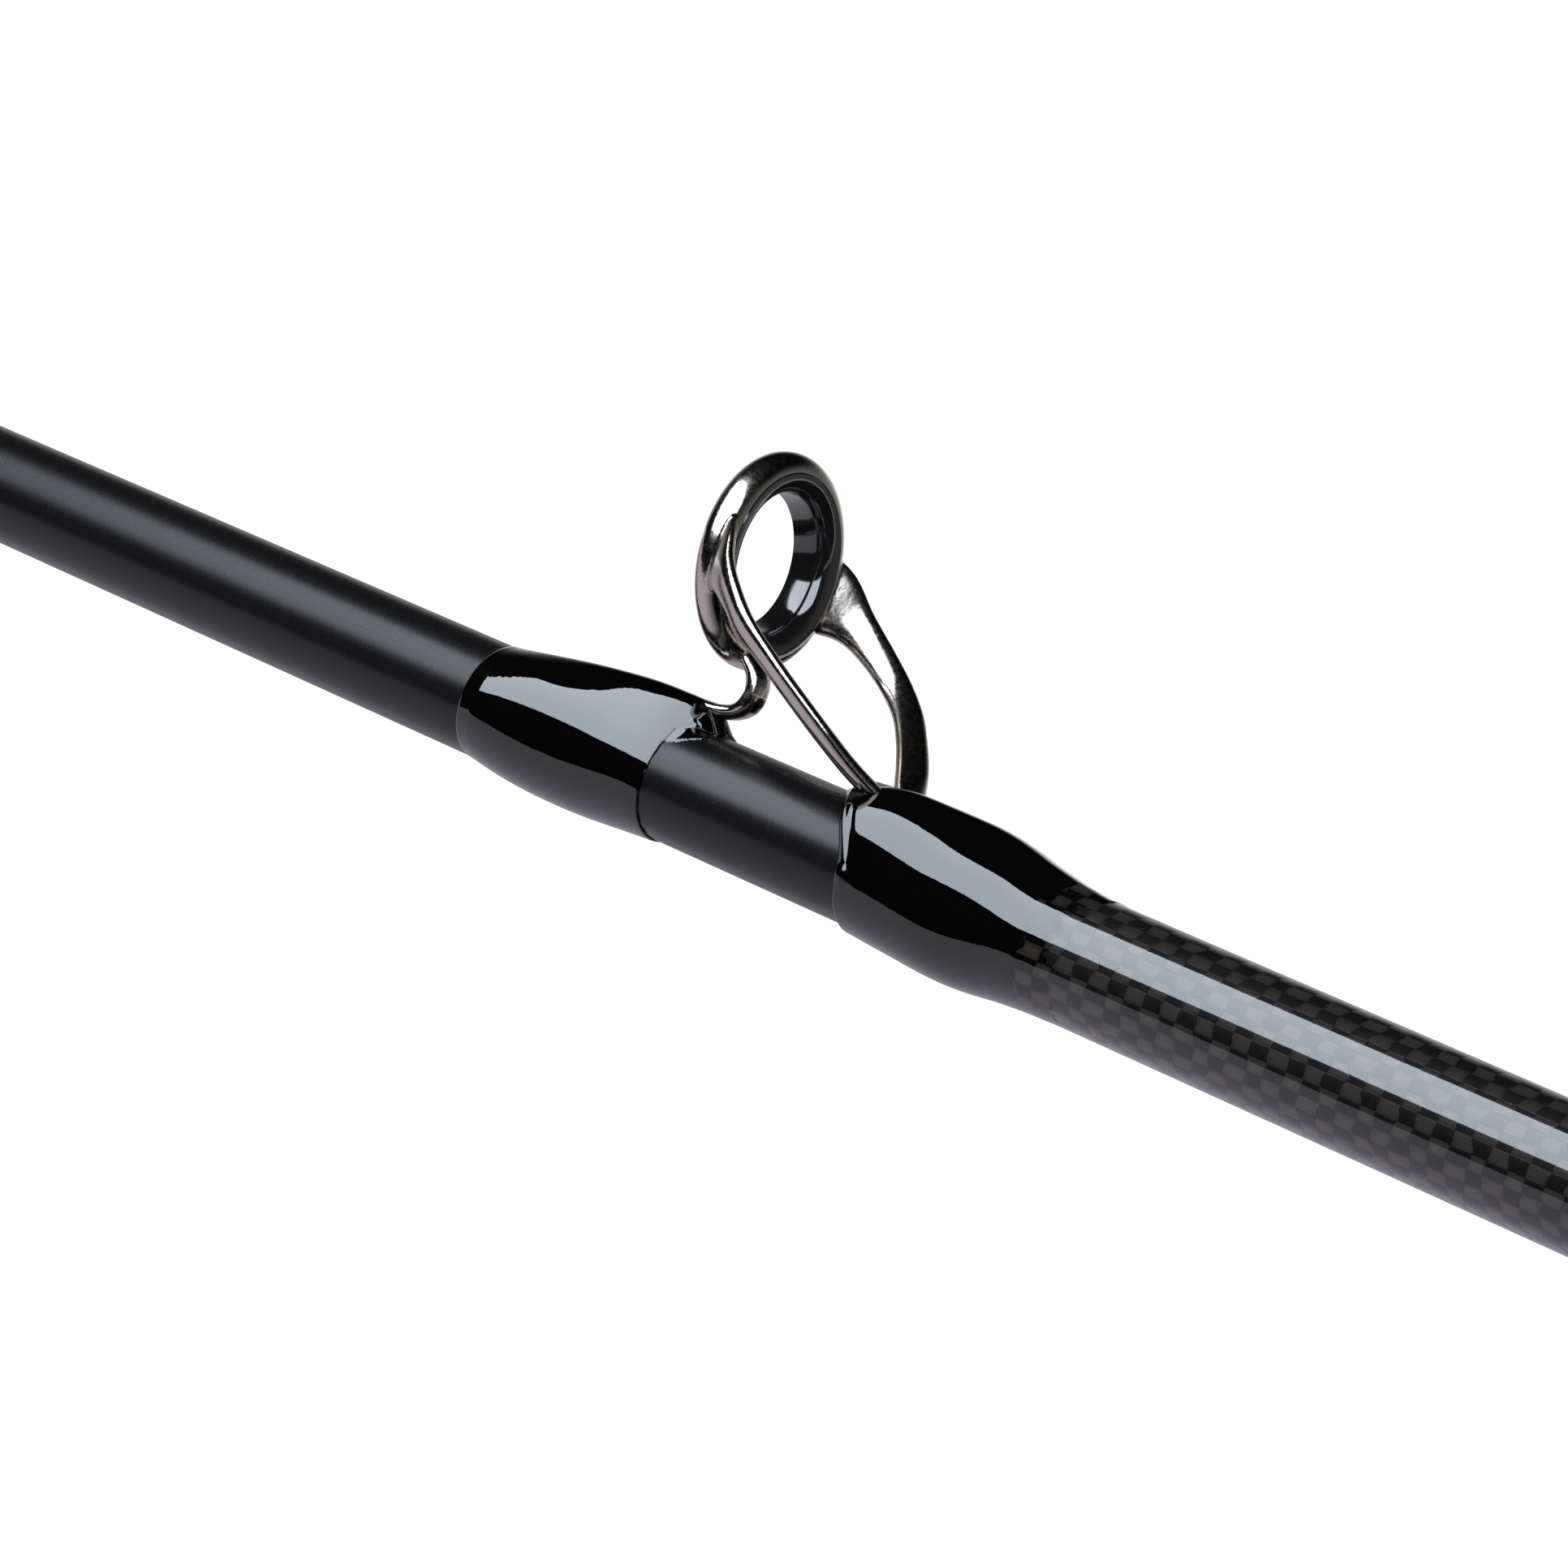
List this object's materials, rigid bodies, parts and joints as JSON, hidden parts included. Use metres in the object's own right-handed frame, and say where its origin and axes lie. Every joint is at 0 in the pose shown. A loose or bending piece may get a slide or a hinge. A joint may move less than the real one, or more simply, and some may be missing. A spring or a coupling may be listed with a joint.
{
  "type": "spinning rod",
  "caption": "Two-piece spinning rod: tapered blank with a woven lower part, split grip handle with a reel seat, lined ring guides on bound feet and a ringed tip-top.",
  "frame": {"origin": "centre of the butt's end face, on the rod's axis", "axes": "+X along the rod towards the tip, +Z towards the side that carries the guides and the reel"},
  "size_m": [1.9847, 0.0272, 0.043],
  "materials": {
    "butt_rubber": "matte",
    "grip_foam": "fine-pored matte foam",
    "trim_metal": "dark polished",
    "seat_graphite": "satin",
    "arbor_foam": "matte",
    "hood_metal": "dark satin",
    "liner_rubber": "matte",
    "keeper_wire": "dark polished",
    "blank_graphite": "satin, near black",
    "woven_carbon": "plain weave under clear gloss",
    "guide_metal": "smoked chrome",
    "guide_ceramic": "polished black ceramic",
    "winding_thread": "black thread",
    "winding_epoxy": "high gloss over black thread"
  },
  "bodies": {
    "butt_section": {"butt_cap": "butt_rubber", "rear_grip": "grip_foam", "rear_grip_check": "trim_metal", "split_grip_check": "trim_metal", "upper_grip": "grip_foam", "reel_seat_body": "seat_graphite", "seat_arbors": "arbor_foam", "fixed_hood": "hood_metal", "fore_grip": "grip_foam", "winding_check": "trim_metal", "hook_keeper": "keeper_wire", "hook_keeper_wrap": "winding_epoxy", "butt_blank": "blank_graphite", "weave_sleeve": "woven_carbon", "ferrule_ring": "trim_metal", "guide1_frame": "guide_metal", "guide1_ring": "guide_ceramic", "guide1_thread": "winding_thread", "guide1_epoxy": "winding_epoxy"},
    "tip_section": {"tip_blank": "blank_graphite", "ferrule_wrap": "winding_epoxy", "guide2_frame": "guide_metal", "guide2_ring": "guide_ceramic", "guide2_thread": "winding_thread", "guide2_epoxy": "winding_epoxy", "guide3_frame": "guide_metal", "guide3_ring": "guide_ceramic", "guide3_thread": "winding_thread", "guide3_epoxy": "winding_epoxy", "guide4_frame": "guide_metal", "guide4_ring": "guide_ceramic", "guide4_thread": "winding_thread", "guide4_epoxy": "winding_epoxy", "guide5_frame": "guide_metal", "guide5_ring": "guide_ceramic", "guide5_thread": "winding_thread", "guide5_epoxy": "winding_epoxy", "guide6_frame": "guide_metal", "guide6_ring": "guide_ceramic", "guide6_thread": "winding_thread", "guide6_epoxy": "winding_epoxy", "guide7_frame": "guide_metal", "guide7_ring": "guide_ceramic", "guide7_thread": "winding_thread", "guide7_epoxy": "winding_epoxy", "tip_top_frame": "guide_metal", "tip_top_ring": "guide_ceramic", "tip_top_wrap": "winding_epoxy"},
    "hood": {"moving_hood": "hood_metal", "hood_liner": "liner_rubber"},
    "nut": {"lock_nut": "hood_metal"}
  },
  "joints": [
    {"name": "tip_pull", "type": "slide", "parent": "butt_section", "child": "tip_section", "axis": [1, 0, 0], "range_m": [0, 0.1]},
    {"name": "hood_slide", "type": "slide", "parent": "butt_section", "child": "hood", "axis": [1, 0, 0], "range_m": [-0.01, 0.014]},
    {"name": "nut_spin", "type": "hinge", "parent": "hood", "child": "nut", "pos_m": [0.35455, 0, 0], "axis": [1, 0, 0], "range_deg": [-1800, 2520]}
  ],
  "couplings": [
    {"joint": "hood_slide", "follows": "nut_spin", "m_per_rad": 0.00031831}
  ]
}
